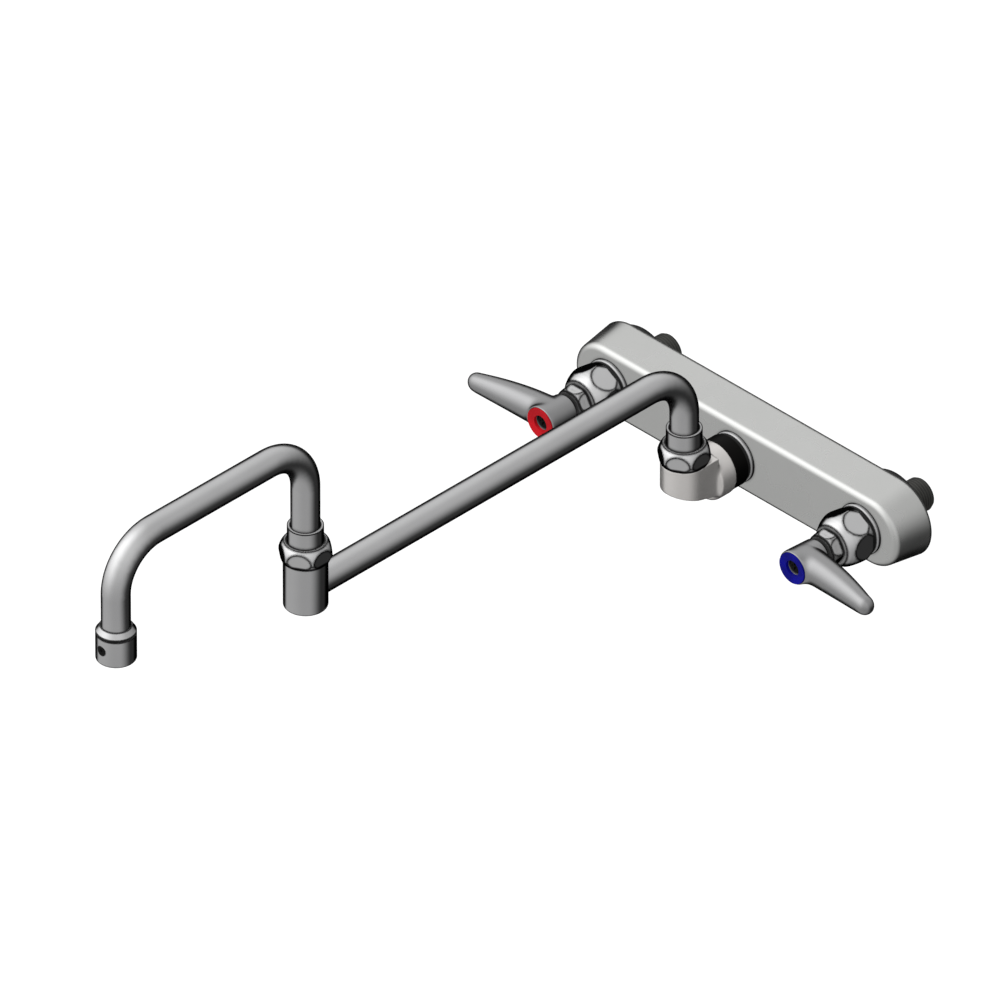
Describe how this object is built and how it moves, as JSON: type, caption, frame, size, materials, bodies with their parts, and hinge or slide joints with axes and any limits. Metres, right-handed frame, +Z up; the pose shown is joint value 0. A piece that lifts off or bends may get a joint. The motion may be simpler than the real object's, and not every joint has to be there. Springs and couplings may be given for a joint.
{
  "type": "faucet",
  "caption": "Wall-mounted kitchen mixing faucet with lever handles and a double-jointed swing spout.",
  "frame": {"origin": "on the wall, midway between the two supply shanks", "axes": "+X along the body towards the cold side, +Y into the wall, +Z up"},
  "size_m": [0.3248, 0.5582, 0.2162],
  "materials": {
    "body_chrome": "satin plated casting",
    "shank_metal": "dark, machined",
    "rubber": "matte black",
    "brass": "machined",
    "trim_chrome": "polished",
    "packing_white": "matte",
    "handle_chrome": "polished",
    "screw_steel": "machined",
    "index_red": "glossy",
    "index_blue": "glossy",
    "dark_steel": "blackened",
    "elbow_chrome": "satin",
    "tube_chrome": "polished",
    "aerator_plastic": "matte"
  },
  "bodies": {
    "base": {"valve_body": "body_chrome", "hot_shank": "shank_metal", "cold_shank": "shank_metal", "hot_wall_washer": "rubber", "cold_wall_washer": "rubber", "hot_valve_seat": "brass", "cold_valve_seat": "brass", "hot_bonnet_ring": "trim_chrome", "cold_bonnet_ring": "trim_chrome", "hot_bonnet_gasket": "rubber", "cold_bonnet_gasket": "rubber", "hot_bonnet": "trim_chrome", "cold_bonnet": "trim_chrome", "hot_packing": "packing_white", "cold_packing": "packing_white", "hot_packing_nut": "trim_chrome", "cold_packing_nut": "trim_chrome", "outlet_ring": "trim_chrome", "outlet_gasket": "rubber", "outlet_lock_ring": "dark_steel", "outlet_nipple": "brass", "outlet_elbow": "elbow_chrome", "base_swivel_nut": "trim_chrome"},
    "hot_lever": {"hot_spindle": "brass", "hot_handle": "handle_chrome", "hot_handle_screw": "screw_steel", "hot_index_ring": "index_red"},
    "cold_lever": {"cold_spindle": "brass", "cold_handle": "handle_chrome", "cold_handle_screw": "screw_steel", "cold_index_ring": "index_blue"},
    "hot_carrier": {"hot_valve_carrier": "brass", "hot_seat_washer": "rubber", "hot_seat_screw": "brass"},
    "cold_carrier": {"cold_valve_carrier": "brass", "cold_seat_washer": "rubber", "cold_seat_screw": "brass"},
    "inner_arm": {"base_ferrule": "tube_chrome", "base_o_ring": "rubber", "base_retaining_ring": "screw_steel", "inner_arm_tube": "tube_chrome", "joint_barrel": "tube_chrome", "joint_swivel_nut": "trim_chrome"},
    "outer_arm": {"joint_ferrule": "tube_chrome", "joint_o_ring": "rubber", "joint_retaining_ring": "screw_steel", "outer_arm_tube": "tube_chrome", "outlet_tip": "tube_chrome", "tip_set_screw": "screw_steel", "aerator_gasket": "rubber", "aerator_insert": "aerator_plastic", "aerator_screen": "screw_steel"}
  },
  "joints": [
    {"name": "hot_handle_turn", "type": "hinge", "parent": "base", "child": "hot_lever", "pos_m": [-0.1016, -0.0289, 0], "axis": [0, -1, 0], "range_deg": [0, 90]},
    {"name": "cold_handle_turn", "type": "hinge", "parent": "base", "child": "cold_lever", "pos_m": [0.1016, -0.0289, 0], "axis": [0, 1, 0], "range_deg": [0, 90]},
    {"name": "hot_carrier_slide", "type": "slide", "parent": "base", "child": "hot_carrier", "axis": [0, -1, 0], "range_m": [0, 0.003]},
    {"name": "cold_carrier_slide", "type": "slide", "parent": "base", "child": "cold_carrier", "axis": [0, -1, 0], "range_m": [0, 0.003]},
    {"name": "base_swivel", "type": "hinge", "parent": "base", "child": "inner_arm", "pos_m": [0, -0.0701, 0], "axis": [0, 0, 1], "range_deg": [-95, 95]},
    {"name": "middle_swivel", "type": "hinge", "parent": "inner_arm", "child": "outer_arm", "pos_m": [0, -0.3749, 0], "axis": [0, 0, 1], "continuous": true}
  ],
  "couplings": [
    {"joint": "hot_carrier_slide", "follows": "hot_handle_turn", "m_per_rad": 0.001909},
    {"joint": "cold_carrier_slide", "follows": "cold_handle_turn", "m_per_rad": 0.001909}
  ]
}
